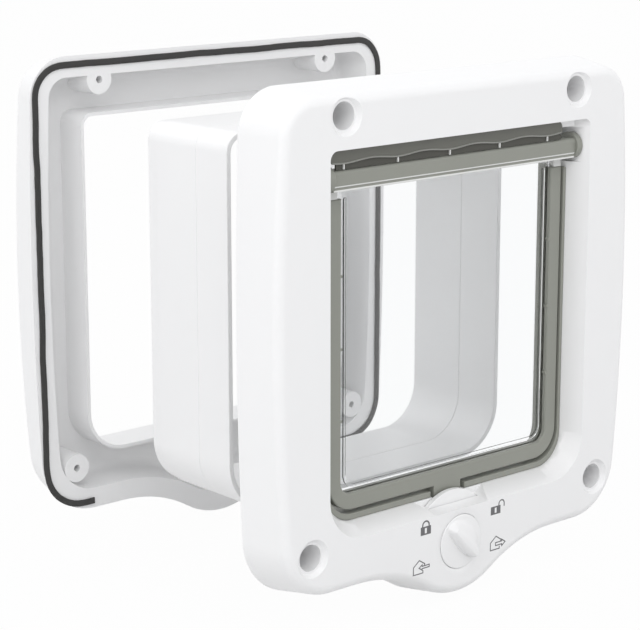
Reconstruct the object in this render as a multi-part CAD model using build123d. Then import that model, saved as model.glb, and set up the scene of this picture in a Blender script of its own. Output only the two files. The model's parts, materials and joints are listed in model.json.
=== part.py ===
from build123d import *
import math
import os

# A four-way cat flap, pulled apart along its passage.
# X runs across the door, Y runs out through the door and Z runs up. Heights start at the upper row of
# screws and depths start at the inner face of the door. All sizes are in millimetres.

# Outline of both plates
plate_half_width = 112.0  # at the middle, where the bowed sides stand out most
plate_top_half_width = 109.5
plate_bottom_half_width = 108.0
plate_middle_z = -94.0
plate_top_z = 12.3
plate_bottom_z = -210.0
top_corner_r = 20.0
bottom_corner_r = 30.0
lobe_below = 27.6  # from the dial's middle to the lowest point of the lobe
lobe_r = 41.0
sweep_r = 74.0  # hollow curve that leads into the lobe
flank_draft = 3.5
corner_draft = 3.0  # further draft of the flanks at their upper and lower ends
face_edge_r = 5.0
wall = 2.5
weld = 0.5  # how far ribs and columns run into what carries them
spare = 1.0  # how far a cutter runs past the plastic
rim_width = 10.0
hollow_draft = 3.0
hollow_floor_r = 5.0
inner_depth = 23.0
outer_depth = 20.0

# Screw holes
row_spacing = 188.0
upper_spacing = 142.0
lower_spacing = 179.0
screw_r = 2.3
screw_seat = 5.0  # plastic left under the screw head
counterbore_r = 6.0
dish_r = 8.6
dish_floor_r = 7.0
dish_depth = 2.0
column_r = 8.6
boss_r = 7.0
pilot_r = 1.75
pilot_depth = 12.0

# Tunnel, pulled out of the door
tunnel_start_y = 39.1
tunnel_split_y = 61.0
tunnel_end_y = 96.4
tunnel_margin = 10.5  # how much wider the tunnel is than the throat, on each side
tunnel_top_z = -12.5
tunnel_bottom_z = -186.0
tunnel_top_r = 9.0
tunnel_bottom_r = 24.0
tunnel_wall = 2.5
lap_length = 3.0
lap_gap = 0.1
end_step = 0.6
end_step_length = 6.5

# Collars that the tunnel slides over
slide_gap = 0.4
collar_wall = 1.6
spigot_length = 4.0  # part of the inner collar that stands into the door
tunnel_stop_y = -2.6  # nothing of the tunnel goes deeper into the inner frame
outer_rim_y = 152.2

# Front opening, its bevel and the throat behind it
side_bar = 37.5  # from the throat to the widest point of the plate
bevel_width = 5.3
opening_top_z = -14.0
opening_bottom_z = -184.5
opening_top_r = 4.0
opening_bottom_r = 20.0
throat_top_z = -17.6
throat_bottom_z = -179.5
throat_top_r = 3.0
throat_bottom_r = 15.8
bevel_back_y = -14.0
throat_wall = 10.0
throat_wall_top_r = 4.0
throat_wall_bottom_r = 22.0
sill_depth = 7.5
throat_skin = 2.4
relief_depth = 14.0

# Grey liner and seal
liner_gap = 0.2
liner_side = 1.6
liner_bottom = 2.7
liner_front_y = -13.5
liner_top_z = -37.0
liner_notch_half = 10.8
end_r = 1.0  # corners at the open ends of a U
open_end = 20.0  # how far the inside of a U runs past its open end
seal_front_y = -19.3
seal_lip_thick = 0.8
seal_back_thick = 0.8
seal_left_reach = 1.7  # the strip lies against the left wall, past the edge of the throat
seal_right_gap = 10.0
seal_end_r = 3.5
seal_lip_z = -20.2
seal_foot_z = -22.8
seal_wave = 1.1
seal_pitch = 31.0
seal_quarters = 10  # quarter waves from the middle to each end
seal_rib_width = 0.8

# Hinge line
hinge_y = -14.0
hinge_z = -27.0
pivot_disc_r = 6.25
pivot_disc_thick = 3.3
pivot_reach = 3.1  # how far each pivot reaches past the edge of the throat
pivot_gap = 0.6
pin_r = 2.0
pin_length = 4.2
pin_gap = 0.06
plug_r = 2.6
plug_length = 6.0
pocket_back = 7.5
pocket_up = 8.5
pocket_down = 7.5

# Hinge bar, as distances from the hinge line
bar_front = 4.75
bar_top = 4.0
bar_step = 2.7
bar_foot = 5.3
bar_edge_r = 2.0
bar_shoulder = (4.3, 3.0)
bar_back_rise = 0.6
groove = 0.5

# Flap
flap_front_y = -13.0
flap_thick = 7.0
border_gap = 2.8  # between the border and the side of the throat
border_width = 7.0
border_foot = 7.5
border_top_z = -36.5
border_foot_gap = 4.5  # between the border and the bottom of the throat
border_outer_r = 14.0
border_inner_r = 6.0
border_edge_r = 0.8
pane_thick = 2.4
pane_gap = 0.1
pane_lap = 3.8  # how far the pane goes into the border
pane_grip = 3.9  # how far the pane goes up into the bar
pane_neck = 3.0
neck_root = 2.0
bead_inset = 9.7
bead_foot = 3.4
bead_width = 1.2
bead_height = 0.7
bead_r = 6.0
tab_half_width = 8.4
tab_drop = 7.0
tab_room = 1.6
tab_clearance = 1.4
tab_sweep = 2.0
ramp_half_width = 16.5
ramp_back_z = -182.5

# Magnets
flap_magnet_size = (10.0, 4.0, 3.0)
keeper_magnet_size = (14.0, 6.0, 2.6)
magnet_gap = 0.1
magnet_rise = 0.25  # the tab's magnet stands this far above the foot of the tab

# Lock
stop_lap = 4.8  # how far the stop plates cover the tab
dial_r = 12.7
dial_recess_r = 15.2
dial_recess_floor_r = 13.2
dial_recess_depth = 1.8
dial_gap = 0.4
dial_thick = 2.0
dial_edge_r = 0.5
ridge_foot = (11.9, 5.4)  # half of its length and of its greatest width
ridge_waist = (11.5, 3.0)
ridge_tip = (10.8, 1.8)
ridge_waist_height = 1.4
ridge_height = 4.0
ridge_lean = 43.0  # degrees from upright, towards the lower right
neck_r = 6.4
neck_gap = 0.3
pad_r = 18.0
stop_r = 23.2
stop_gap = 0.3
stop_half_angle = 46.0
stop_front_y = -16.6
stop_thick = 2.5
rear_stop_y = -5.0
rear_stop_thick = 2.0
rear_stop_middle = -135.0
rear_stop_half_angle = 90.0
hub_r = 10.0
shaft_r = 5.0
wheel_r = 8.0
wheel_front_y = -12.5
wheel_thick = 4.0
notch_r = 1.2
notch_count = 4
side_gap = 0.4
core_r = 1.3
core_depth = 8.0
head_r = 3.2
head_thick = 1.6
head_edge = 0.8
screw_tip_gap = 1.0
spring_thick = 0.5
spring_half_length = 27.0
spring_gap = 0.3
spring_room = 2.0
post_x = 25.0
post_r = 2.0

# Gasket
gasket_width = 6.5
gasket_thick = 1.8
gasket_inset = 1.5
gasket_end_x = 80.0

throat_half_width = plate_half_width - side_bar
opening_half_width = throat_half_width + bevel_width
tunnel_half_width = throat_half_width + tunnel_margin
pivot_end_x = throat_half_width + pivot_reach
border_half_width = throat_half_width - border_gap
border_bottom_z = throat_bottom_z + border_foot_gap
bead_half_width = border_half_width - bead_inset
dial_z = border_bottom_z - tab_drop + stop_lap - stop_r
lobe_bottom_z = dial_z - lobe_below
upper_screws = [(-upper_spacing / 2, 0.0), (upper_spacing / 2, 0.0)]
lower_screws = [(-lower_spacing / 2, -row_spacing), (lower_spacing / 2, -row_spacing)]
screws = upper_screws + lower_screws


def at_depth(sketch, y):
    """Stands a sketch upright at one depth."""
    return Plane.XZ.offset(-y) * sketch


def slab(sketch, near_y, far_y):
    """Solid with an upright profile between two depths."""
    return extrude(at_depth(sketch, far_y), amount=far_y - near_y)


def rod(x, z, radius, near_y, far_y):
    """Round bar along the depth."""
    return slab(Pos(x, z) * Circle(radius), near_y, far_y)


def block(low, high):
    """Box between two opposite corners."""
    size = [b - a for a, b in zip(low, high)]
    middle = [(a + b) / 2 for a, b in zip(low, high)]
    return Pos(*middle) * Box(*size)


def cone_cut(x, z, mouth_r, floor_r, mouth_y, floor_y):
    """Tapered round recess."""
    depth = floor_y - mouth_y
    return Pos(x, mouth_y + depth / 2, z) * Cone(mouth_r, floor_r, depth, rotation=(-90, 0, 0))


def window(half_width, top_z, bottom_z, top_r, bottom_r):
    """Upright opening with its own radius for the upper and the lower corners."""
    blank = Pos(0, (top_z + bottom_z) / 2) * Rectangle(2 * half_width, top_z - bottom_z)
    blank = fillet(blank.vertices().group_by(Axis.Y)[-1], top_r)
    return fillet(blank.vertices().group_by(Axis.Y)[0], bottom_r)


def grown(profile, distance):
    """The same profile, larger or smaller by one distance all round."""
    return offset(profile, amount=distance)


def polar(centre, radius, degrees):
    """Point on a circle."""
    angle = math.radians(degrees)
    return (centre[0] + radius * math.cos(angle), centre[1] + radius * math.sin(angle))


def round_pair(outline, x, z, radius):
    """Rounds the two corners of an outline that lie at one height, x to each side."""
    corners = outline.vertices().filter_by(lambda v: abs(abs(v.X) - x) + abs(v.Y - z) < weld)
    return fillet(corners, radius)


def plate_outline(inset=0.0, end_inset=0.0):
    """Bowed sides, rounded corners, and a lobe under the dial led in by two hollow curves.

    The whole outline can be drawn inset, and the ends of its sides further still.
    """
    top_z = plate_top_z - inset
    bottom_z = plate_bottom_z + inset
    lobe_size = lobe_r - inset
    sweep_size = sweep_r + inset
    lobe_centre = (0.0, lobe_bottom_z + lobe_r)
    sweep_z = bottom_z - sweep_size
    sweep_x = math.sqrt((lobe_size + sweep_size) ** 2 - (lobe_centre[1] - sweep_z) ** 2)
    sweep_centre = (sweep_x, sweep_z)
    lean = math.degrees(math.atan2(lobe_centre[1] - sweep_z, -sweep_x))
    join = polar(sweep_centre, sweep_size, lean)
    sweep_middle = polar(sweep_centre, sweep_size, (90 + lean) / 2)
    top_x = plate_top_half_width - inset - end_inset
    bottom_x = plate_bottom_half_width - inset - end_inset
    top = Line((0, top_z), (top_x, top_z))
    side = ThreePointArc(top @ 1, (plate_half_width - inset, plate_middle_z), (bottom_x, bottom_z))
    bottom = Line(side @ 1, (sweep_x, bottom_z))
    sweep = ThreePointArc(bottom @ 1, sweep_middle, join)
    lobe_start = math.degrees(math.atan2(join[1] - lobe_centre[1], join[0]))
    lobe_middle = polar(lobe_centre, lobe_size, (lobe_start - 90) / 2)
    lobe = ThreePointArc(join, lobe_middle, (0, lobe_centre[1] - lobe_size))
    right = top + side + bottom + sweep + lobe
    outline = make_face(right + mirror(right, Plane.YZ))
    outline = round_pair(outline, top_x, top_z, top_corner_r - inset)
    return round_pair(outline, bottom_x, bottom_z, bottom_corner_r - inset)


def plate_shell(depth):
    """Hollow plate with its rim at depth 0 and its face towards the room."""
    face = plate_outline(flank_draft, corner_draft)
    body = loft([at_depth(plate_outline(), 0), at_depth(face, -depth)], ruled=True)
    body = fillet(body.faces().sort_by(Axis.Y)[0].edges(), face_edge_r)
    mouth = plate_outline(rim_width)
    floor = plate_outline(rim_width + hollow_draft, corner_draft)
    hollow = loft([at_depth(mouth, 0), at_depth(floor, wall - depth)], ruled=True)
    hollow = fillet(hollow.faces().sort_by(Axis.Y)[0].edges(), hollow_floor_r)
    return body - hollow


tunnel_outer = window(tunnel_half_width, tunnel_top_z, tunnel_bottom_z, tunnel_top_r, tunnel_bottom_r)
tunnel_inner = grown(tunnel_outer, -tunnel_wall)
collar_outer = grown(tunnel_inner, -slide_gap)
collar_inner = grown(collar_outer, -collar_wall)
throat = window(throat_half_width, throat_top_z, throat_bottom_z, throat_top_r, throat_bottom_r)
dial_back_y = -inner_depth + dial_recess_depth - dial_gap
hinge_reach = pivot_end_x + pivot_gap


def front_bevel():
    """Tool that cuts the opening: bevelled at the sides and the bottom, square at the top."""
    front = window(opening_half_width, opening_top_z, opening_bottom_z, opening_top_r, opening_bottom_r)
    back = window(throat_half_width, opening_top_z, throat_bottom_z, opening_top_r, throat_bottom_r)
    bevel = loft([at_depth(front, -inner_depth), at_depth(back, bevel_back_y)], ruled=True)
    lintel_front = seal_front_y + seal_lip_thick + seal_back_thick + magnet_gap
    lintel = block(
        (-throat_half_width, lintel_front, throat_top_z),
        (throat_half_width, bevel_back_y, opening_top_z),
    )
    return bevel - lintel + slab(throat, bevel_back_y, spigot_length)


def hinge_pockets():
    """Tool that cuts room for both pivots and the pin bores."""
    low_z = hinge_z - pocket_down
    high_z = hinge_z + pocket_up
    cut = block(
        (-hinge_reach, -inner_depth, low_z),
        (hinge_reach, hinge_y + pocket_back, high_z),
    )
    bore = Cylinder(pin_r + pin_gap, 2 * (pivot_end_x + pin_length + pivot_gap), rotation=(0, 90, 0))
    return cut + Pos(0, hinge_y, hinge_z) * bore


def lock_housing():
    """Tool that clears the dial, the stop plates, and the path of the tab down its ramp."""
    recess = cone_cut(
        0, dial_z, dial_recess_r, dial_recess_floor_r, -inner_depth, -inner_depth + dial_recess_depth
    )
    neck = rod(0, dial_z, neck_r + neck_gap, -inner_depth, 0)
    front_slot = (stop_front_y - side_gap, stop_front_y + stop_thick + side_gap)
    rear_slot = (rear_stop_y - side_gap, rear_stop_y + rear_stop_thick + side_gap)
    swept = Pos(0, dial_z) * Circle(stop_r + stop_gap)
    below_sill = Pos(0, throat_bottom_z - sill_depth - stop_r) * Rectangle(4 * stop_r, 2 * stop_r)
    cut = recess + neck + slab(swept, *front_slot) + slab(swept, *rear_slot)
    cut += slab(swept & below_sill, front_slot[0], 0)
    tab_floor = border_bottom_z - tab_drop - tab_clearance
    cut += block(
        (-tab_half_width - tab_room, front_slot[0], tab_floor),
        (tab_half_width + tab_room, spigot_length, throat_bottom_z + tab_sweep),
    )
    ramp = Polyline(
        (-inner_depth, opening_bottom_z), (front_slot[1], ramp_back_z),
        (front_slot[1], throat_bottom_z + tab_sweep), (-inner_depth, throat_bottom_z + tab_sweep), close=True,
    )
    plane = Plane(origin=(-ramp_half_width, 0, 0), x_dir=(0, 1, 0), z_dir=(1, 0, 0))
    return cut + extrude(plane * make_face(ramp), amount=2 * ramp_half_width)


def keeper_place(gap):
    """Block of the keeper magnet, with a gap all round for its pocket."""
    length, width, height = keeper_magnet_size
    middle_y = flap_front_y + flap_thick / 2
    low_z = throat_bottom_z - sill_depth
    return block(
        (-length / 2 - gap, middle_y - width / 2 - gap, low_z - gap),
        (length / 2 + gap, middle_y + width / 2 + gap, low_z + height + gap),
    )


def inner_frame():
    """Hollow front plate with the bevelled opening, screw columns, hinge cheeks and lock housing."""
    frame = plate_shell(inner_depth)
    inside_y = wall - inner_depth
    thick = window(
        throat_half_width + throat_wall,
        opening_top_z + wall,
        throat_bottom_z - sill_depth,
        throat_wall_top_r,
        throat_wall_bottom_r,
    )
    frame += slab(thick, inside_y - weld, tunnel_stop_y)
    frame += slab(collar_outer, tunnel_stop_y - weld, spigot_length)
    frame += rod(0, dial_z, pad_r, inside_y - weld, stop_front_y - side_gap)
    for x, z in screws:
        frame += rod(x, z, column_r, inside_y - weld, 0)
    spring_z = spring_rest_z()
    for x in (-post_x, post_x):
        frame += rod(x, spring_z - post_r, post_r, inside_y - weld, wheel_front_y + wheel_thick)
    frame -= front_bevel()
    frame -= hinge_pockets()
    frame -= lock_housing()
    frame -= keeper_place(magnet_gap)
    frame -= block(
        (-spring_half_length - side_gap, wheel_front_y, spring_z),
        (spring_half_length + side_gap, 0, spring_z + spring_room),
    )
    relief_outer = grown(collar_outer, -collar_wall)
    relief_inner = grown(throat, throat_skin)
    relief = slab(relief_outer - relief_inner, spigot_length - relief_depth, spigot_length)
    side_band = block(
        (-tunnel_half_width, -inner_depth, throat_bottom_z + throat_bottom_r),
        (tunnel_half_width, spigot_length, hinge_z - pocket_down - wall),
    )
    frame -= relief & side_band
    for x, z in screws:
        frame -= cone_cut(x, z, dish_r, dish_floor_r, -inner_depth, -inner_depth + dish_depth)
        frame -= rod(x, z, counterbore_r, -inner_depth, -screw_seat)
        frame -= rod(x, z, screw_r, -inner_depth, 0)
    return frame


def draught_liner(side):
    """One half of the thin U that lines the throat, which stops short of the lock."""
    half = throat_half_width - liner_gap
    bottom_z = throat_bottom_z + liner_gap
    outer = window(half, liner_top_z, bottom_z, end_r, throat_bottom_r - liner_gap)
    inner_r = throat_bottom_r - liner_gap - liner_side
    inner_top = liner_top_z + open_end
    inner = window(half - liner_side, inner_top, bottom_z + liner_bottom, end_r, inner_r)
    liner = slab(outer - inner, liner_front_y, spigot_length)
    ends = sorted((side * liner_notch_half, side * throat_half_width))
    return liner & block((ends[0], liner_front_y, bottom_z), (ends[1], spigot_length, liner_top_z))


def top_seal():
    """Strip above the bar: a wavy front lip, and a backing that reaches down to the bar, with ribs."""
    wave = []
    for quarter in range(-seal_quarters, seal_quarters + 1):
        height = seal_lip_z - seal_wave * math.cos(quarter * math.pi / 2)
        wave.append((quarter * seal_pitch / 4, height))
    lip = Spline(*wave)
    left = wave[0]
    right = wave[-1]
    sides = Polyline(right, (right[0], opening_top_z), (left[0], opening_top_z), left)
    back_y = seal_front_y + seal_lip_thick
    far_y = back_y + seal_back_thick
    left_x = -throat_half_width - seal_left_reach
    right_x = throat_half_width - seal_right_gap
    seal = slab(make_face(lip + sides), seal_front_y, back_y)
    seal += block((left_x, back_y - weld, seal_lip_z + seal_wave + weld), (right_x, far_y, opening_top_z))
    disc_x = -pivot_end_x + pivot_disc_thick + pivot_gap
    seal += block((disc_x, back_y, seal_foot_z), (right_x, far_y, opening_top_z))
    for number in range(-2, 3):
        middle_x = number * seal_pitch
        seal += block(
            (middle_x - seal_rib_width / 2, seal_front_y, seal_foot_z),
            (middle_x + seal_rib_width / 2, back_y + weld, opening_top_z),
        )
    ends = window((right_x - left_x) / 2, opening_top_z, seal_foot_z, seal_end_r, seal_rib_width)
    return seal & slab(Pos((left_x + right_x) / 2, 0) * ends, seal_front_y, far_y)


def keeper_magnet():
    """Bar magnet under the path of the tab."""
    return keeper_place(0)


def bar_profile():
    """Section of the hinge bar round the hinge line, with a slot for the pane in its foot."""
    back = flap_front_y + flap_thick - hinge_y - magnet_gap
    pane_front = pane_front_y() - pane_gap - hinge_y
    front = Line((-bar_front, -bar_step), (-bar_front, bar_top - bar_edge_r))
    round_front = JernArc(front @ 1, (0, 1), bar_edge_r, -90)
    crown = Line(round_front @ 1, (0, bar_top))
    shoulder = ThreePointArc(crown @ 1, bar_shoulder, (back, bar_back_rise))
    rest = Polyline(
        shoulder @ 1, (back, -bar_foot), (pane_front, -bar_foot), (pane_front, -bar_step), front @ 0
    )
    slot_back = pane_front + pane_thick + 2 * pane_gap
    slot_top = pane_grip - bar_foot + pane_gap
    slot = Polyline(
        (pane_front, -bar_foot - spare), (slot_back, -bar_foot - spare), (slot_back, slot_top),
        (pane_front, slot_top), close=True,
    )
    return make_face(front + round_front + crown + shoulder + rest) - make_face(slot)


def along_hinge(profile, low_x, high_x):
    """Solid with a section in depth and height, given round the hinge line."""
    plane = Plane(origin=(low_x, hinge_y, hinge_z), x_dir=(0, 1, 0), z_dir=(1, 0, 0))
    return extrude(plane * profile, amount=high_x - low_x)


def hinge_bar():
    """Rail across the top of the flap, bored for the plugs of both pivots."""
    half = pivot_end_x - pivot_disc_thick
    bar = along_hinge(bar_profile(), -half, half)
    for side in (-1, 1):
        middle_x = side * (half - plug_length / 2)
        bore = Cylinder(plug_r + pin_gap, plug_length, rotation=(0, 90, 0))
        bar -= Pos(middle_x, hinge_y, hinge_z) * bore
    return bar


def pane_clip():
    """Lower lip that presses the pane against the back leg of the bar."""
    half = pivot_end_x - pivot_disc_thick
    back = pane_front_y() - pane_gap - hinge_y
    front = -bar_front + groove
    lip = front / 2
    section = Polyline(
        (front, -bar_foot), (back, -bar_foot), (back, -bar_step), (lip, -bar_step),
        (lip, -bar_step - groove), (front, -bar_step - groove), close=True,
    )
    return along_hinge(make_face(section), -half, half)


def pivot(side):
    """Round end cap: a disc, a plug inside the bar and a stub pin in the cheek."""
    reach = pivot_end_x - pivot_disc_thick
    parts = [
        (pivot_disc_r, reach, pivot_end_x),
        (plug_r, reach - plug_length, reach),
        (pin_r, pivot_end_x, pivot_end_x + pin_length),
    ]
    solid = None
    for radius, near, far in parts:
        piece = Pos(side * (near + far) / 2, hinge_y, hinge_z) * Cylinder(radius, far - near, rotation=(0, 90, 0))
        solid = piece if solid is None else solid + piece
    return solid


def pane_front_y():
    """Front of the pane, which lies in the middle of the border."""
    return flap_front_y + (flap_thick - pane_thick) / 2


def pane_profile(gap):
    """Outline of the pane below its neck."""
    half = border_half_width - border_width + pane_lap + gap
    bottom_z = border_bottom_z + border_foot - pane_lap - gap
    return window(half, border_top_z, bottom_z, end_r, border_inner_r + pane_lap + gap)


def flap_pane():
    """Clear pane with a neck that goes up into the bar, and a raised bead near its edge."""
    near_y = pane_front_y()
    half = border_half_width - border_width + pane_lap
    pane = slab(pane_profile(0), near_y, near_y + pane_thick)
    neck_top = hinge_z - bar_foot + pane_grip
    pane += block(
        (pane_neck - half, near_y, border_top_z - neck_root),
        (half - pane_neck, near_y + pane_thick, neck_top),
    )
    bead_bottom = border_bottom_z + border_foot + bead_foot - bead_width
    outer = window(bead_half_width, border_top_z, bead_bottom, end_r, bead_r)
    inner = window(
        bead_half_width - bead_width,
        border_top_z + open_end,
        bead_bottom + bead_width,
        end_r,
        bead_r - bead_width,
    )
    return pane + slab(outer - inner, near_y - bead_height, near_y)


def flap_border():
    """Grey U with a groove for the pane and the tab that the lock stops."""
    far_y = flap_front_y + flap_thick
    outer = window(border_half_width, border_top_z, border_bottom_z, end_r, border_outer_r)
    inner = window(
        border_half_width - border_width,
        border_top_z + open_end,
        border_bottom_z + border_foot,
        end_r,
        border_inner_r,
    )
    border = slab(outer - inner, flap_front_y, far_y)
    border = fillet(border.faces().sort_by(Axis.Y)[0].edges(), border_edge_r)
    border += block(
        (-tab_half_width, flap_front_y, border_bottom_z - tab_drop),
        (tab_half_width, far_y, border_bottom_z + border_foot / 2),
    )
    groove_y = pane_front_y() - pane_gap
    border -= slab(pane_profile(pane_gap), groove_y, groove_y + pane_thick + 2 * pane_gap)
    return border - flap_magnet_place(magnet_gap, spare)


def flap_magnet_place(gap, mouth):
    """Block of the tab's magnet, with a gap all round and an open foot for its pocket."""
    length, width, height = flap_magnet_size
    middle_y = flap_front_y + flap_thick / 2
    low_z = border_bottom_z - tab_drop + magnet_rise
    return block(
        (-length / 2 - gap, middle_y - width / 2 - gap, low_z - mouth),
        (length / 2 + gap, middle_y + width / 2 + gap, low_z + height + gap),
    )


def sector(radius, middle, half_angle):
    """Slice of a disc, with its middle in degrees clockwise from straight up."""
    start = polar((0, 0), radius, 90 - middle + half_angle)
    crest = polar((0, 0), radius, 90 - middle)
    end = polar((0, 0), radius, 90 - middle - half_angle)
    edge = Line((0, 0), start) + ThreePointArc(start, crest, end) + Line(end, (0, 0))
    return Pos(0, dial_z) * make_face(edge)


def leaf(size):
    """Pointed leaf outline of the finger ridge, from half its length and half its width."""
    half_length, half_width = size
    right = ThreePointArc((0, half_length), (half_width, 0), (0, -half_length))
    left = ThreePointArc((0, -half_length), (-half_width, 0), (0, half_length))
    return Pos(0, dial_z) * (Rot(0, 0, ridge_lean) * make_face(right + left))


def lock_knob():
    """Round dial with a waisted finger ridge, and a neck that passes through the face."""
    front_y = dial_back_y - dial_thick
    dial = rod(0, dial_z, dial_r, front_y, dial_back_y)
    dial = fillet(dial.faces().sort_by(Axis.Y)[0].edges(), dial_edge_r)
    foot = at_depth(leaf(ridge_foot), front_y)
    waist = at_depth(leaf(ridge_waist), front_y - ridge_waist_height)
    tip = at_depth(leaf(ridge_tip), front_y - ridge_height)
    ridge = loft([foot, waist, tip], ruled=True)
    neck = rod(0, dial_z, neck_r, dial_back_y, stop_front_y)
    return dial + ridge + neck


def lock_rotor():
    """Front stop plate with two opposite slices, a shaft and a notched wheel."""
    plate = Pos(0, dial_z) * Circle(hub_r)
    plate += sector(stop_r, 0, stop_half_angle)
    plate += sector(stop_r, 180, stop_half_angle)
    stop_back = stop_front_y + stop_thick
    rotor = slab(plate, stop_front_y, stop_back)
    rotor += rod(0, dial_z, shaft_r, stop_back, rear_stop_y)
    wheel = Pos(0, dial_z) * Circle(wheel_r)
    for number in range(notch_count):
        x, z = polar((0, dial_z), wheel_r, 90 + 360 * number / notch_count)
        wheel -= Pos(x, z) * Circle(notch_r)
    rotor += slab(wheel, wheel_front_y, wheel_front_y + wheel_thick)
    return rotor - rod(0, dial_z, core_r + pin_gap, rear_stop_y - core_depth, rear_stop_y)


def rear_stop():
    """Half-round plate behind the tab, with its middle towards the lower left."""
    plate = Pos(0, dial_z) * Circle(hub_r) + sector(stop_r, rear_stop_middle, rear_stop_half_angle)
    far_y = rear_stop_y + rear_stop_thick
    return slab(plate, rear_stop_y, far_y) - rod(0, dial_z, core_r + pin_gap, rear_stop_y, far_y)


def rotor_screw():
    """Pan-head screw from the door side."""
    far_y = rear_stop_y + rear_stop_thick
    head = rod(0, dial_z, head_r, far_y, far_y + head_thick)
    head = chamfer(head.faces().sort_by(Axis.Y)[-1].edges(), head_edge)
    return head + rod(0, dial_z, core_r, rear_stop_y - core_depth + screw_tip_gap, far_y)


def spring_rest_z():
    """Top of the posts, which is the underside of the leaf spring."""
    return dial_z - wheel_r - spring_gap - spring_thick


def detent_spring():
    """Flat leaf across two posts under the notched wheel."""
    low_z = spring_rest_z()
    return block(
        (-spring_half_length, wheel_front_y + side_gap / 2, low_z),
        (spring_half_length, wheel_front_y + wheel_thick - side_gap / 2, low_z + spring_thick),
    )


def tunnel_front():
    """Short section with a thin tongue that laps into the long one."""
    tongue = grown(tunnel_outer, -tunnel_wall / 2 - lap_gap / 2) - tunnel_inner
    body = slab(tunnel_outer - tunnel_inner, tunnel_start_y, tunnel_split_y)
    return body + slab(tongue, tunnel_split_y, tunnel_split_y + lap_length)


def tunnel_rear():
    """Long section with a rebate for the tongue and a slightly smaller far end."""
    body = slab(tunnel_outer - tunnel_inner, tunnel_split_y, tunnel_end_y)
    rebate = grown(tunnel_outer, -tunnel_wall / 2 + lap_gap / 2)
    body -= slab(rebate, tunnel_split_y, tunnel_split_y + lap_length + lap_gap)
    step = grown(tunnel_outer, spare) - grown(tunnel_outer, -end_step)
    return body - slab(step, tunnel_end_y - end_step_length, tunnel_end_y + spare)


def outer_frame():
    """Hollow back plate with a collar round the passage and four screw bosses."""
    frame = plate_shell(outer_depth)
    inside_y = wall - outer_depth
    frame += slab(collar_outer, inside_y - weld, 0)
    for x, z in screws:
        frame += rod(x, z, boss_r, inside_y - weld, 0)
    frame -= slab(collar_inner, -outer_depth, 0)
    for x, z in screws:
        frame -= rod(x, z, pilot_r, -pilot_depth, 0)
    return Pos(0, outer_rim_y, 0) * mirror(frame, Plane.XZ)


def gasket():
    """Strip on the rim, left open under the lobe."""
    band = plate_outline(gasket_inset) - plate_outline(gasket_inset + gasket_width)
    gap_top = plate_bottom_z + rim_width + gasket_width
    gap_low = lobe_bottom_z
    gap = Pos(0, (gap_top + gap_low) / 2) * Rectangle(2 * gasket_end_x, gap_top - gap_low)
    return slab(band - gap, outer_rim_y - gasket_thick, outer_rim_y)


nodes = {
    "inner_frame": inner_frame(),
    "liner_left": draught_liner(-1),
    "liner_right": draught_liner(1),
    "top_seal": top_seal(),
    "keeper_magnet": keeper_magnet(),
    "detent_spring": detent_spring(),
    "hinge_bar": hinge_bar(),
    "pane_clip": pane_clip(),
    "pivot_left": pivot(-1),
    "pivot_right": pivot(1),
    "flap_pane": flap_pane(),
    "flap_border": flap_border(),
    "flap_magnet": flap_magnet_place(0, 0),
    "lock_knob": lock_knob(),
    "lock_rotor": lock_rotor(),
    "rear_stop": rear_stop(),
    "rotor_screw": rotor_screw(),
    "tunnel_front": tunnel_front(),
    "tunnel_rear": tunnel_rear(),
    "outer_frame": outer_frame(),
    "gasket": gasket(),
}

os.makedirs("parts", exist_ok=True)
for name, shape in nodes.items():
    export_step(shape, f"parts/{name}.step")
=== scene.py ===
import json
import logging
import math
from collections.abc import Callable
from dataclasses import dataclass, field
from enum import Enum

import bmesh
import bpy
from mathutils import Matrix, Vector
from mathutils.bvhtree import BVHTree


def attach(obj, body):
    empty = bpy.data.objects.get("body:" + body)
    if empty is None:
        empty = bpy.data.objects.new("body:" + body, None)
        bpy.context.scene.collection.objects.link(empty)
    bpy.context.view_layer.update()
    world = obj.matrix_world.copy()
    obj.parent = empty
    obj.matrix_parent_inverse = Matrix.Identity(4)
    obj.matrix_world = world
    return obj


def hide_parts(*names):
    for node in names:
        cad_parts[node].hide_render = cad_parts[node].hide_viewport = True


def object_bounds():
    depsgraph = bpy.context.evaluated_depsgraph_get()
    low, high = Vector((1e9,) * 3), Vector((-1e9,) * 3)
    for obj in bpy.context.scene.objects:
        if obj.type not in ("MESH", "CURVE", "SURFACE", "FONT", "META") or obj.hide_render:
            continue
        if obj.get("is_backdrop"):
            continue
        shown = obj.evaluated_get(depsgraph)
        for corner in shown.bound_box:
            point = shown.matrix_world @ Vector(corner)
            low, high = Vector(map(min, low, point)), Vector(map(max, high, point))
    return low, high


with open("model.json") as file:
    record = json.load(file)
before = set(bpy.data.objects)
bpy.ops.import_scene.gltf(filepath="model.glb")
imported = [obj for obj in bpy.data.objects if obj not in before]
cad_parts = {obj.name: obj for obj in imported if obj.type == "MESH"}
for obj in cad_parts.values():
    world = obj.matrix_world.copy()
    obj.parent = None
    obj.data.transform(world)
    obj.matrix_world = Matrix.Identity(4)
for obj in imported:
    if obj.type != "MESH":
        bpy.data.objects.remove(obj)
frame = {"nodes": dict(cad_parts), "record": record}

log = logging.getLogger("cat_flap")

MM = 0.001
WELD = 2e-7
Vec2 = tuple[float, float]
Vec3 = tuple[float, float, float]
Colour = tuple[float, float, float, float]
Socket = bpy.types.NodeSocket

# Places in millimetres: the plate's face, the dial's axis and the outer frame's rim
FACE_Y = -23.0
DIAL_Z = -200.4
RIM_Y = 152.2

# Angle in degrees past which an edge stays crisp
CRISP_ANGLE = 40.0
DIAL_CRISP_ANGLE = 38.0

# Runs round a bar's edge, round a path's corner, along a bead and round it
EDGE_RUNS = 3
CORNER_RUNS = 10
BEAD_STEPS = 180
BEAD_SIDES = 10

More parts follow.
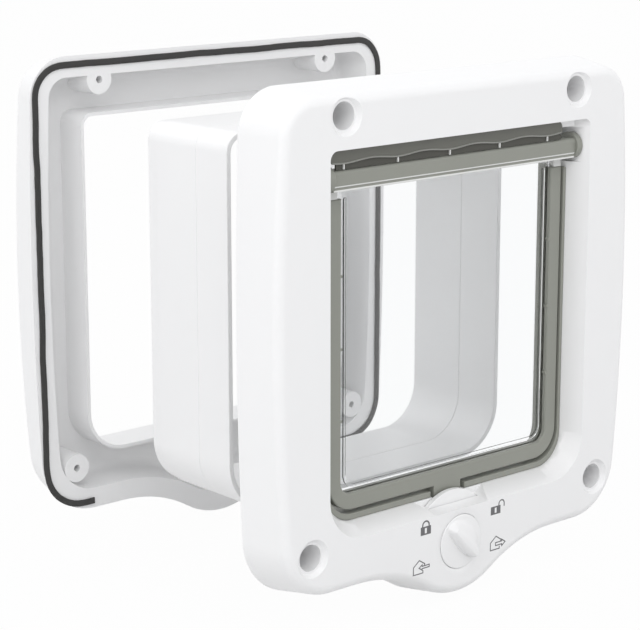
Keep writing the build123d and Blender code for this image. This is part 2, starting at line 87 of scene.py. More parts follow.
# Noise: patches to a metre, and what the fine streaks add to tone and height
WANDER_SCALE = 70.0
CLOUD_SCALE = 16.0
STREAK_SCALE = 90.0
STREAK_TONE = 0.4
STREAK_HEIGHT = 0.5


class Group(Enum):
    """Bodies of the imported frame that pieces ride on."""

    INNER = "inner_group"
    FLAP = "flap"
    LOCK = "lock"
    TUNNEL = "tunnel"
    OUTER = "outer_group"


class Slot(Enum):
    """Material slots of the record, one for each finish."""

    WHITE = "white_plastic"
    GREY = "grey_plastic"
    CLEAR = "clear_plastic"
    RUBBER = "dark_rubber"
    MAGNET = "magnet"
    STEEL = "steel"


class Gloss(Enum):
    """Roughness of the moulded surfaces."""

    SATIN = 0.34
    SHELL = 0.36
    MATT = 0.62


def new_object(name: str, mesh: bpy.types.Mesh) -> bpy.types.Object:
    """Puts a mesh in the scene.

    Args:
        name: Name of the piece.
        mesh: Its mesh, already in place.

    Returns:
        The new object, at the origin.
    """
    piece = bpy.data.objects.new(name, mesh)
    bpy.context.scene.collection.objects.link(piece)
    return piece


def mesh_from(name: str, points: list[Vec3], faces: list[tuple[int, ...]]) -> bpy.types.Mesh:
    """Makes a mesh from points in millimetres.

    Args:
        name: Name of the mesh.
        points: Corners in millimetres.
        faces: Indices of each face's corners.

    Returns:
        The mesh, in metres.
    """
    mesh = bpy.data.meshes.new(name)
    mesh.from_pydata([(x * MM, y * MM, z * MM) for x, y, z in points], [], faces)
    mesh.update()
    return mesh


def smooth_below(mesh: bpy.types.Mesh, degrees: float) -> None:
    """Shades a mesh smooth, with its edges sharper than the angle kept crisp."""
    mesh.shade_smooth()
    mesh.set_sharp_from_angle(angle=math.radians(degrees))


def finish_skin(mesh: bpy.types.Mesh, degrees: float) -> None:
    """Merges doubled points, turns every face outwards and shades the mesh smooth.

    Args:
        mesh: Closed mesh.
        degrees: Angle past which its edges stay crisp.
    """
    shape = bmesh.new()
    shape.from_mesh(mesh)
    bmesh.ops.remove_doubles(shape, verts=shape.verts, dist=WELD)
    bmesh.ops.recalc_face_normals(shape, faces=shape.faces)
    shape.to_mesh(mesh)
    shape.free()
    smooth_below(mesh, degrees)


def grid_faces(rows: int, columns: int) -> list[tuple[int, ...]]:
    """Four-cornered faces between the points of a grid.

    Args:
        rows: Runs from each row of points to the next.
        columns: Runs along a row.

    Returns:
        Indices of each face's corners.
    """
    row = columns + 1
    firsts = [i * row + j for i in range(rows) for j in range(columns)]
    return [(first, first + 1, first + row + 1, first + row) for first in firsts]


def evaluated(piece: bpy.types.Object) -> None:
    """Turns a piece and its modifiers into one plain mesh.

    Args:
        piece: Object whose modifiers are applied and removed.
    """
    graph = bpy.context.evaluated_depsgraph_get()
    plain = bpy.data.meshes.new_from_object(
        piece.evaluated_get(graph), preserve_all_data_layers=True, depsgraph=graph
    )
    piece.modifiers.clear()
    plain.name = piece.name
    piece.data = plain


class NodeTree:
    """Node tree with named inputs and outputs."""

    def __init__(self, name: str, kind: str) -> None:
        """Makes an empty tree.

        Args:
            name: Name of what it makes.
            kind: Type of the tree.
        """
        self.tree = bpy.data.node_groups.new(name, kind)
        self.nodes = self.tree.nodes
        self.entry = self.nodes.new("NodeGroupInput")
        self.exit = self.nodes.new("NodeGroupOutput")

    def add_input(
        self, name: str, kind: str, value: float | Colour | None = None
    ) -> Socket:
        """Adds a named input.

        Args:
            name: Name of the value.
            kind: Last part of its socket type.
            value: What it is unless it is set.

        Returns:
            The socket that gives it.
        """
        made = self.tree.interface.new_socket(name, in_out="INPUT", socket_type="NodeSocket" + kind)
        if value is not None:
            made.default_value = value
        return self.entry.outputs[name]

    def add_inputs(self, kind: str, *names: str) -> list[Socket]:
        """Adds several named inputs of one kind.

        Args:
            kind: Last part of their socket type.
            names: Their names in order.

        Returns:
            The sockets that give them.
        """
        return [self.add_input(name, kind) for name in names]

    def add_output(self, name: str, kind: str, source: Socket) -> None:
        """Adds a named output.

        Args:
            name: Name of the result.
            kind: Last part of its socket type.
            source: Socket that feeds it.
        """
        self.tree.interface.new_socket(name, in_out="OUTPUT", socket_type="NodeSocket" + kind)
        self.tree.links.new(source, self.exit.inputs[name])

    def add(self, kind: str, inputs: dict, **settings: str) -> bpy.types.Node:
        """Adds a node.

        Args:
            kind: Type of the node.
            inputs: Sockets and values for its inputs, by name or number.
            settings: Its properties.

        Returns:
            The node.
        """
        node = self.nodes.new(kind)
        for key, value in settings.items():
            setattr(node, key, value)
        for key, value in inputs.items():
            if isinstance(value, Socket):
                self.tree.links.new(value, node.inputs[key])
            else:
                node.inputs[key].default_value = value
        return node

    def first(self, kind: str, inputs: dict, **settings: str) -> Socket:
        """Adds a node, for its first output.

        Args:
            kind: Type of the node.
            inputs: Sockets and values for its inputs, by name or number.
            settings: Its properties.

        Returns:
            The output's socket.
        """
        return self.add(kind, inputs, **settings).outputs[0]

    def math(self, operation: str, *values: Socket | float) -> Socket:
        """Adds a sum on sockets and numbers.

        Args:
            operation: Name of the sum.
            values: Its terms in order.

        Returns:
            The result's socket.
        """
        return self.first("ShaderNodeMath", dict(enumerate(values)), operation=operation)

    def vector_math(self, operation: str, inputs: dict) -> Socket:
        """Adds a sum on vectors.

        Args:
            operation: Name of the sum.
            inputs: Its terms by name or number.

        Returns:
            The result's socket.
        """
        return self.first("ShaderNodeVectorMath", inputs, operation=operation)


def build_grain_group() -> bpy.types.NodeTree:
    """Fine texture of a moulded surface: small changes of tone, gloss and height.

    Returns:
        The finished group.
    """
    group = NodeTree("moulded_grain", "ShaderNodeTree")
    colour = group.add_input("Colour", "Color", (0.8, 0.8, 0.8, 1.0))
    tone_change = group.add_input("Tone", "Float", 0.03)
    rough = group.add_input("Roughness", "Float", 0.35)
    gloss_change = group.add_input("Gloss Change", "Float", 0.06)
    grain_size = group.add_input("Grain Size", "Float", 900.0)
    place = group.add("ShaderNodeTexCoord", {}).outputs["Object"]
    noises = []
    for scale, detail in ((CLOUD_SCALE, 4.0), (STREAK_SCALE, 2.0), (grain_size, 2.0)):
        inputs = {"Vector": place, "Scale": scale, "Detail": detail}
        noises.append(group.add("ShaderNodeTexNoise", inputs).outputs["Fac"])
    cloud, streaks, grain = noises
    patches = group.math("SUBTRACT", cloud, 0.5)
    fine = group.math("SUBTRACT", streaks, 0.5)
    mixed = group.math("MULTIPLY_ADD", fine, STREAK_TONE, patches)
    tone = group.math("MULTIPLY_ADD", mixed, tone_change, 1.0)
    tinted = group.vector_math("SCALE", {0: colour, "Scale": tone})
    gloss = group.math("MULTIPLY_ADD", mixed, gloss_change, rough)
    height = group.math("MULTIPLY_ADD", streaks, STREAK_HEIGHT, grain)
    group.add_output("Colour", "Color", tinted)
    group.add_output("Roughness", "Float", gloss)
    group.add_output("Height", "Float", height)
    return group.tree


class GeometryTree(NodeTree):
    """Geometry node tree with named inputs, that ends in real mesh with its finish."""

    def __init__(self, name: str) -> None:
        """Makes an empty tree.

        Args:
            name: Name of what it makes.
        """
        super().__init__(name, "GeometryNodeTree")
        self.base = self.add_input("Geometry", "Geometry")

    def rounded_bar(self, path: Socket, wide: Socket, deep: Socket, corner: Socket) -> Socket:
        """Runs a rectangle with round corners along a path.

        Args:
            path: Curve to follow.
            wide: Width of the section.
            deep: Depth of the section.
            corner: Radius of its corners.

        Returns:
            Closed mesh.
        """
        section = self.first("GeometryNodeCurvePrimitiveQuadrilateral", {"Width": wide, "Height": deep})
        rounding = {"Curve": section, "Count": EDGE_RUNS, "Radius": corner}
        rounded = self.first("GeometryNodeFilletCurve", rounding, mode="POLY")
        return self.swept(path, rounded)

    def swept(self, path: Socket, section: Socket) -> Socket:
        """Runs a section along a path, with both ends closed.

        Args:
            path: Curve to follow.
            section: Curve of the section.

        Returns:
            Closed mesh.
        """
        inputs = {"Curve": path, "Profile Curve": section, "Fill Caps": True}
        return self.first("GeometryNodeCurveToMesh", inputs)

    def close(self, shape: Socket) -> None:
        """Realizes the instances and gives the mesh its finish.

        Args:
            shape: What the tree has made.
        """
        finish = self.add_input("Finish", "Material")
        real = self.first("GeometryNodeRealizeInstances", {"Geometry": shape})
        dressed = self.first("GeometryNodeSetMaterial", {"Geometry": real, "Material": finish})
        self.add_output("Geometry", "Geometry", dressed)

    def grow(self, base: bpy.types.Mesh, values: dict, finish: bpy.types.Material) -> bpy.types.Object:
        """Makes one piece with the tree.

        Args:
            base: Mesh that the tree starts from, with the piece's name.
            values: Value of each input by name, in metres.
            finish: Material of the piece.

        Returns:
            The piece as a plain mesh, its faces outwards.
        """
        piece = new_object(base.name, base)
        modifier = piece.modifiers.new("tree", "NODES")
        modifier.node_group = self.tree
        settings = values | {"Finish": finish}
        for item in self.tree.interface.items_tree:
            if item.in_out == "INPUT" and item.name in settings:
                modifier[item.identifier] = settings[item.name]
        evaluated(piece)
        finish_skin(piece.data, CRISP_ANGLE)
        return piece


def build_foam_tree() -> GeometryTree:
    """Soft strip that follows a path with rounded corners and lies a little uneven.

    Returns:
        The finished tree.
    """
    tree = GeometryTree("foam_strip")
    wide, deep, corner = tree.add_inputs("Float", "Width", "Depth", "Edge Radius")
    top_r, low_r, middle = tree.add_inputs("Float", "Top Corner", "Bottom Corner", "Middle Height")
    step, wander, seed = tree.add_inputs("Float", "Step", "Wander", "Seed")
    path = tree.first("GeometryNodeMeshToCurve", {"Mesh": tree.base})
    place = tree.first("GeometryNodeInputPosition", {})
    parts = tree.add("ShaderNodeSeparateXYZ", {0: place})
    above = tree.math("GREATER_THAN", parts.outputs["Z"], middle)
    radius = tree.math("MULTIPLY_ADD", above, tree.math("SUBTRACT", top_r, low_r), low_r)
    rounding = {"Curve": path, "Count": CORNER_RUNS, "Radius": radius}
    turned = tree.first("GeometryNodeFilletCurve", rounding, mode="POLY")
    even = tree.first("GeometryNodeResampleCurve", {"Curve": turned, "Length": step}, mode="LENGTH")
    patches = {"Scale": WANDER_SCALE, "Detail": 2.0, "W": seed}
    cloud = tree.add("ShaderNodeTexNoise", patches, noise_dimensions="4D")
    about = tree.vector_math("SUBTRACT", {0: cloud.outputs["Color"], 1: (0.5, 0.5, 0.5)})
    flat = tree.vector_math("MULTIPLY", {0: about, 1: (1.0, 0.0, 1.0)})
    shift = tree.vector_math("SCALE", {0: flat, "Scale": wander})
    laid = tree.first("GeometryNodeSetPosition", {"Geometry": even, "Offset": shift})
    tree.close(tree.rounded_bar(laid, deep, wide, corner))
    return tree


def build_rib_tree() -> GeometryTree:
    """Row of small ribs with round corners, all alike.

    Returns:
        The finished tree.
    """
    tree = GeometryTree("rib_row")
    count = tree.add_input("Count", "Int")
    first, last, run = tree.add_inputs("Vector", "First", "Last", "Run")
    wide, deep, corner = tree.add_inputs("Float", "Width", "Depth", "Edge Radius")
    ends = {"Count": count, "Start Location": first, "Offset": last}
    row = tree.first("GeometryNodeMeshLine", ends, mode="END_POINTS")
    line = tree.first("GeometryNodeCurvePrimitiveLine", {"Start": (0.0, 0.0, 0.0), "End": run})
    rib = tree.rounded_bar(line, wide, deep, corner)
    placed = tree.first("GeometryNodeInstanceOnPoints", {"Points": row, "Instance": rib})
    tree.close(placed)
    return tree


def build_wave_tree() -> GeometryTree:
    """Round bead along a wavy edge.

    Returns:
        The finished tree.
    """
    tree = GeometryTree("wavy_bead")
    start, end = tree.add_inputs("Vector", "Start", "End")
    pitch, start_x, wave, wide = tree.add_inputs("Float", "Pitch", "Shift", "Wave", "Bead Radius")
    line = tree.first("GeometryNodeCurvePrimitiveLine", {"Start": start, "End": end})
    fine = tree.first("GeometryNodeResampleCurve", {"Curve": line, "Count": BEAD_STEPS}, mode="COUNT")
    place = tree.first("GeometryNodeInputPosition", {})
    parts = tree.add("ShaderNodeSeparateXYZ", {0: place})
    along = tree.math("SUBTRACT", parts.outputs["X"], start_x)
    angle = tree.math("MULTIPLY", tree.math("DIVIDE", along, pitch), math.tau)
    drop = tree.math("MULTIPLY", tree.math("COSINE", angle), wave)
    shift = tree.first("ShaderNodeCombineXYZ", {"Z": tree.math("SUBTRACT", 0.0, drop)})
    bent = tree.first("GeometryNodeSetPosition", {"Geometry": fine, "Offset": shift})
    ring = tree.first("GeometryNodeCurvePrimitiveCircle", {"Resolution": BEAD_SIDES, "Radius": wide})
    tree.close(tree.swept(bent, ring))
    return tree


def scaled(values: dict) -> dict:
    """Turns sizes and places from millimetres to metres; whole numbers stay.

    Args:
        values: Inputs of a tree by name.

    Returns:
        The same inputs in metres.
    """
    result = {}
    for name, value in values.items():
        if isinstance(value, float):
            value = value * MM
        elif isinstance(value, tuple):
            value = tuple(part * MM for part in value)
        result[name] = value
    return result


def empty_mesh(name: str) -> bpy.types.Mesh:
    """Makes a mesh with nothing in it, for a tree that makes all of its shape."""
    return bpy.data.meshes.new(name)


@dataclass(frozen=True)
class MouldedFinish:
    """Opaque moulded plastic, rubber, ink or metal."""

    name: str
    colour: Colour
    roughness: float = Gloss.SATIN.value
    tone: float = 0.03
    gloss_change: float = 0.06
    grain_size: float = 900.0
    grain_depth: float = 0.02
    grain_strength: float = 0.35
    metal: float = 0.0

    def build(self, grain: bpy.types.NodeTree) -> bpy.types.Material:
        """Makes the material.

        Args:
            grain: Shared group for the moulded texture.

        Returns:
            The material.
        """
        material = bpy.data.materials.new(self.name)
        material.use_nodes = True
        nodes = material.node_tree.nodes
        links = material.node_tree.links
        surface = nodes["Principled BSDF"]
        texture = nodes.new("ShaderNodeGroup")
        texture.node_tree = grain
        values = {
            "Colour": self.colour,
            "Tone": self.tone,
            "Roughness": self.roughness,
            "Gloss Change": self.gloss_change,
            "Grain Size": self.grain_size,
        }
        for name, value in values.items():
            texture.inputs[name].default_value = value
        links.new(texture.outputs["Colour"], surface.inputs["Base Color"])
        links.new(texture.outputs["Roughness"], surface.inputs["Roughness"])
        self.complete(material.node_tree, surface, texture)
        return material

    def complete(
        self, tree: bpy.types.NodeTree, surface: bpy.types.Node, texture: bpy.types.Node
    ) -> None:
        """Adds the fine bumps, and the shine of metal.

        Args:
            tree: Nodes of the material.
            surface: Its surface.
            texture: Its moulded texture.
        """
        surface.inputs["Metallic"].default_value = self.metal
        bump = tree.nodes.new("ShaderNodeBump")
        bump.inputs["Strength"].default_value = self.grain_strength
        bump.inputs["Distance"].default_value = self.grain_depth * MM
        tree.links.new(texture.outputs["Height"], bump.inputs["Height"])
        tree.links.new(bump.outputs["Normal"], surface.inputs["Normal"])


@dataclass(frozen=True)
class ClearFinish(MouldedFinish):
    """Clear moulded acrylic, without bumps."""

    ior: float = 1.49

    def complete(
        self, tree: bpy.types.NodeTree, surface: bpy.types.Node, texture: bpy.types.Node
    ) -> None:
        """Lets light through.

        Args:
            tree: Nodes of the material.
            surface: Its surface.
            texture: Its moulded texture.
        """
        surface.inputs["IOR"].default_value = self.ior
        surface.inputs["Transmission Weight"].default_value = 1.0


@dataclass
class Finishes:
    """All materials, made once and given to nodes and pieces by name."""

    made: dict[str, bpy.types.Material] = field(default_factory=dict)

    def build(self) -> None:
        """Makes every material."""
        grain = build_grain_group()
        shell = Gloss.SHELL.value
        foam = MouldedFinish(
            Slot.RUBBER.value,
            (0.034, 0.033, 0.032, 1.0),
            roughness=Gloss.MATT.value,
            tone=0.35,
            gloss_change=0.1,
            grain_size=1400.0,
            grain_depth=0.12,
        )
        clear = ClearFinish(
            Slot.CLEAR.value,
            (0.965, 0.975, 0.98, 1.0),
            roughness=0.02,
            tone=0.01,
            gloss_change=0.02,
            grain_size=60.0,
        )
        plans = [
            MouldedFinish(Slot.WHITE.value, (0.85, 0.85, 0.852, 1.0), roughness=shell, tone=0.015),
            MouldedFinish(Slot.GREY.value, (0.262, 0.268, 0.236, 1.0), roughness=shell, tone=0.08),
            foam,
            MouldedFinish(
                Slot.MAGNET.value, (0.12, 0.12, 0.125, 1.0), roughness=0.5, tone=0.1, metal=0.6
            ),
            MouldedFinish(Slot.STEEL.value, (0.55, 0.55, 0.56, 1.0), roughness=0.3, tone=0.1, metal=1.0),
            # Seal's grey, darker than the grey plastic: its own grey plus painted shade under the top of
            # the opening
            MouldedFinish("seal_grey_painted_shade", (0.125, 0.126, 0.109, 1.0), roughness=0.45, tone=0.1),
            # Lighter grey for the bead on the wavy lip: the seal's grey lightened as a painted highlight
            # where the lip's edge catches the light
            MouldedFinish("seal_bead_painted_highlight", (0.25, 0.252, 0.232, 1.0), roughness=0.3, tone=0.08),
            # Light grey for the seal's ribs, the clip's bead and foot and the pane's corners: painted
            # highlights on the edges of grey parts
            MouldedFinish("painted_highlight_grey", (0.72, 0.725, 0.71, 1.0), roughness=0.25, tone=0.05),
            # Near-black for the backing behind the wavy lip: painted shade in the gap under the lip
            MouldedFinish("seal_backing_painted_shade", (0.058, 0.057, 0.047, 1.0), roughness=0.55, tone=0.1),
            MouldedFinish("print_ink", (0.13, 0.13, 0.135, 1.0), roughness=0.5, tone=0.12),
            clear,
        ]
        for plan in plans:
            self.made[plan.name] = plan.build(grain)

    def dress_nodes(self) -> None:
        """Gives each CAD node the finish of its slot."""
        for entry in frame["record"]["subparts"]:
            node = frame["nodes"][entry["node"]]
            node.data.materials.clear()
            node.data.materials.append(self.made[entry["material_slot"]])

    def dress(self, piece: bpy.types.Object, group: Group, slot: Slot, finish: str = "") -> None:
        """Gives a piece its finish and its body.

        Args:
            piece: Finished piece, in place.
            group: Body that it rides on.
            slot: Material slot of the record.
            finish: Name of the material, where it isn't the slot's own.
        """
        piece.data.materials.clear()
        piece.data.materials.append(self.made[finish or slot.value])
        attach(piece, group.value)
        log.info("%s rides on %s", piece.name, group.value)


@dataclass
class SoftCopy:
    """Copy of a CAD node with its triangles merged and its sharp edges rounded a little."""

    node: str
    group: Group
    slot: Slot
    radius: float = 0.25
    segments: int = 2
    angle: float = 35.0
    flat_angle: float = 0.4
    flat_weight: int = 80

    def merged_mesh(self) -> bpy.types.Mesh:
        """Merges the node's loose triangles into larger faces.

        Returns:
            A closed mesh with flat faces in one piece.
        """
        source = frame["nodes"][self.node].data
        mesh = bpy.data.meshes.new(self.node + "_soft")
        points = [tuple(vertex.co) for vertex in source.vertices]
        mesh.from_pydata(points, [], [tuple(face.vertices) for face in source.polygons])
        shape = bmesh.new()
        shape.from_mesh(mesh)
        bmesh.ops.remove_doubles(shape, verts=shape.verts, dist=WELD)
        bmesh.ops.dissolve_degenerate(shape, dist=WELD, edges=shape.edges)
        bmesh.ops.dissolve_limit(
            shape, angle_limit=math.radians(self.flat_angle), verts=shape.verts, edges=shape.edges
        )
        self.sculpt(shape)
        shape.to_mesh(mesh)
        shape.free()
        return mesh

    def sculpt(self, shape: bmesh.types.BMesh) -> None:
        """Changes the merged copy where the piece needs it; plain copies stay as they are."""

    def build(self, finishes: Finishes) -> bpy.types.Object:
        """Makes the rounded piece and lets it stand for its node.

        Args:
            finishes: Materials of the part.

        Returns:
            The piece.
        """
        piece = new_object(self.node + "_soft", self.merged_mesh())
        bevel = piece.modifiers.new("round", "BEVEL")
        bevel.width = self.radius * MM
        bevel.segments = self.segments
        bevel.limit_method = "ANGLE"
        bevel.angle_limit = math.radians(self.angle)
        bevel.use_clamp_overlap = True
        bevel.miter_outer = "MITER_ARC"
        flats = piece.modifiers.new("flats", "WEIGHTED_NORMAL")
        flats.weight = self.flat_weight
        flats.keep_sharp = True
        smooth_below(piece.data, CRISP_ANGLE)
        evaluated(piece)
        finishes.dress(piece, self.group, self.slot)
        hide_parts(self.node)
        return piece


@dataclass
class PlateCopy(SoftCopy):
    """Inner frame with a saucer round the dial and soft sides to the ramp in the sill."""

    dish_r: float = 15.2
    dish_floor_r: float = 13.2
    saucer_r: float = 15.6
    saucer_y: float = -22.1
    saucer_floor_r: float = 12.92
    dish_floor_y: float = -21.2
    ramp_half: float = 16.5
    ramp_top_z: float = -179.5
    ramp_spread: float = 21.5
    near: float = 0.06

    def sculpt(self, shape: bmesh.types.BMesh) -> None:
        """Lifts the foot of the dish's slope to a small step, and spreads the ramp's upper corners.

        Args:
            shape: The merged copy.
        """
        floor = [face for face in shape.faces if all(self.in_dish(vertex) for vertex in face.verts)]
        rim = {
            vertex for face in floor for vertex in face.verts
            if abs(self.from_dial(vertex.co / MM) - self.dish_floor_r) < self.near
        }
        lowered = bmesh.ops.extrude_face_region(shape, geom=floor)
        bmesh.ops.delete(shape, geom=floor, context="FACES_ONLY")
        moved = {item for item in lowered["geom"] if isinstance(item, bmesh.types.BMVert)}
        for vertex in rim - moved:
            vertex.co.y = self.saucer_y * MM
        for vertex in rim | moved:
            if abs(self.from_dial(vertex.co / MM) - self.dish_floor_r) < self.near:
                self.spread(vertex, self.saucer_floor_r / self.dish_floor_r)
        for vertex in shape.verts:
            spot = vertex.co / MM
            if abs(self.from_dial(spot) - self.dish_r) < self.near and abs(spot.y - FACE_Y) < self.near:
                self.spread(vertex, self.saucer_r / self.dish_r)
            at_side = abs(abs(spot.x) - self.ramp_half) < self.near
            if at_side and abs(spot.z - self.ramp_top_z) < self.near:
                vertex.co.x = math.copysign(self.ramp_spread * MM, spot.x)

    def in_dish(self, vertex: bmesh.types.BMVert) -> bool:
        """Tells whether a vertex lies on the floor of the dish round the dial."""
        spot = vertex.co / MM
        return abs(spot.y - self.dish_floor_y) < self.near and self.from_dial(spot) < self.dish_r

    def spread(self, vertex: bmesh.types.BMVert, share: float) -> None:
        """Multiplies a vertex's distance from the dial's axis.

        Args:
            vertex: Vertex to move.
            share: Its new distance as a share of the old.
        """
        spot = vertex.co / MM
        vertex.co.x = vertex.co.x * share
        vertex.co.z = (DIAL_Z + (spot.z - DIAL_Z) * share) * MM

    def from_dial(self, spot: Vector) -> float:
        """Distance of a point from the dial's axis, in millimetres."""
        return math.hypot(spot.x, spot.z - DIAL_Z)


@dataclass
class Pictogram:
    """Small printed sign on the face, drawn as strokes and filled patches."""

    name: str
    place: Vec2
    strokes: list[list[Vec2]]
    fills: list[list[Vec2]] = field(default_factory=list)
    stroke: float = 0.5
    step: float = 0.6
    lift: float = 0.04
    depth: float = 0.08
    mitre_limit: float = 0.45
    probe: float = 8.0

    def ribbon(self, path: list[Vec2]) -> list[list[Vec2]]:
        """Turns a path into four-cornered patches with mitred joints.

        Args:
            path: Points of the stroke; it closes where the last is the first.

        Returns:
            One patch for each run of the path.
        """
        closed = path[0] == path[-1]
        count = len(path) - 1
        sides = []
        for at in range(len(path)):
            before = path[at - 1] if at else (path[count - 1] if closed else None)
            after = path[at + 1] if at < count else (path[1] if closed else None)
            here = Vector(path[at])
            ways = []
            if before is not None:
                ways.append((here - Vector(before)).normalized())
            if after is not None:
                ways.append((Vector(after) - here).normalized())
            way = sum(ways, Vector((0.0, 0.0))).normalized()
            across = Vector((-way.y, way.x))
            turn = across.dot(Vector((-ways[0].y, ways[0].x)))
            reach = self.stroke / 2 / max(self.mitre_limit, turn)
            sides.append((here + across * reach, here - across * reach))
        return [[sides[i][0], sides[i][1], sides[i + 1][1], sides[i + 1][0]] for i in range(count)]

    def patch(self, corners: list[Vec2]) -> tuple[list[Vec2], list[tuple[int, ...]]]:
        """Splits a four-cornered patch into a grid fine enough to follow the plate.

        Args:
            corners: Its corners in order.

        Returns:
            Points and faces of the grid.
        """
        a, b, c, d = [Vector(corner) for corner in corners]
        along = max(1, math.ceil(max((d - a).length, (c - b).length) / self.step))
        across = max(1, math.ceil(max((b - a).length, (c - d).length) / self.step))
        points = []
        for i in range(along + 1):
            for j in range(across + 1):
                near = a.lerp(b, j / across)
                far = d.lerp(c, j / across)
                points.append(tuple(near.lerp(far, i / along)))
        return points, grid_faces(along, across)

    def build(self, surface: BVHTree, finishes: Finishes) -> None:
        """Prints the sign on the surface.

        Args:
            surface: The plate that carries it.
            finishes: Materials of the part.
        """
        patches = [patch for path in self.strokes for patch in self.ribbon(path)] + self.fills
        points: list[Vec3] = []
        faces: list[tuple[int, ...]] = []
        for corners in patches:
            grid, quads = self.patch(corners)
            first = len(points)
            for x, z in grid:
                start = Vector((self.place[0] + x, FACE_Y - self.probe, self.place[1] + z)) * MM
                hit = surface.ray_cast(start, Vector((0.0, 1.0, 0.0)))[0]
                points.append((start.x / MM, hit.y / MM - self.lift, start.z / MM))
            faces += [tuple(first + i for i in quad) for quad in quads]
        front = len(points)
        points += [(x, y + self.depth, z) for x, y, z in points]
        edges: dict[tuple[int, int], int] = {}
        for face in faces:
            for a, b in zip(face, face[1:] + face[:1]):
                edges[(a, b)] = edges.get((a, b), 0) + 1
        rim = [(a, b) for a, b in edges if (b, a) not in edges]
        walls = [(b, a, a + front, b + front) for a, b in rim]
        back = [tuple(i + front for i in reversed(face)) for face in faces]
        piece = new_object(self.name, mesh_from(self.name, points, faces + back + walls))
        finishes.dress(piece, Group.INNER, Slot.RUBBER, "print_ink")


def arc(centre: Vec2, radius: float, start: float, end: float, count: int = 10) -> list[Vec2]:
    """Points on part of a circle.

    Args:
        centre: Its middle.
        radius: Its radius.
        start: First angle in degrees.
        end: Last angle in degrees.
        count: Runs between the points.

    Returns:
        The points in order.
    """
    angles = [math.radians(start + (end - start) * i / count) for i in range(count + 1)]
    return [(centre[0] + radius * math.cos(a), centre[1] + radius * math.sin(a)) for a in angles]


@dataclass(frozen=True)
class RibRow:
    """Row of small bars with round corners, all alike, or a single bar."""

    name: str
    first: Vec3
    run: Vec3
    section: Vec2
    edge_r: float
    last: Vec3 | None = None
    count: int = 1

    def build(self, tree: GeometryTree, finishes: Finishes, group: Group, finish: str = "") -> None:
        """Makes the row as one grey piece.

        Args:
            tree: Tree that makes rows.
            finishes: Materials of the part.
            group: Body that it rides on.
            finish: Name of the material, where it isn't the grey plastic's own.
        """
        values = scaled({
            "Count": self.count,
            "First": self.first,
            "Last": self.last or self.first,
            "Run": self.run,
            "Width": self.section[0],
            "Depth": self.section[1],
            "Edge Radius": self.edge_r,
        })
        material = finishes.made[finish or Slot.GREY.value]
        piece = tree.grow(empty_mesh(self.name), values, material)
        finishes.dress(piece, group, Slot.GREY, finish)


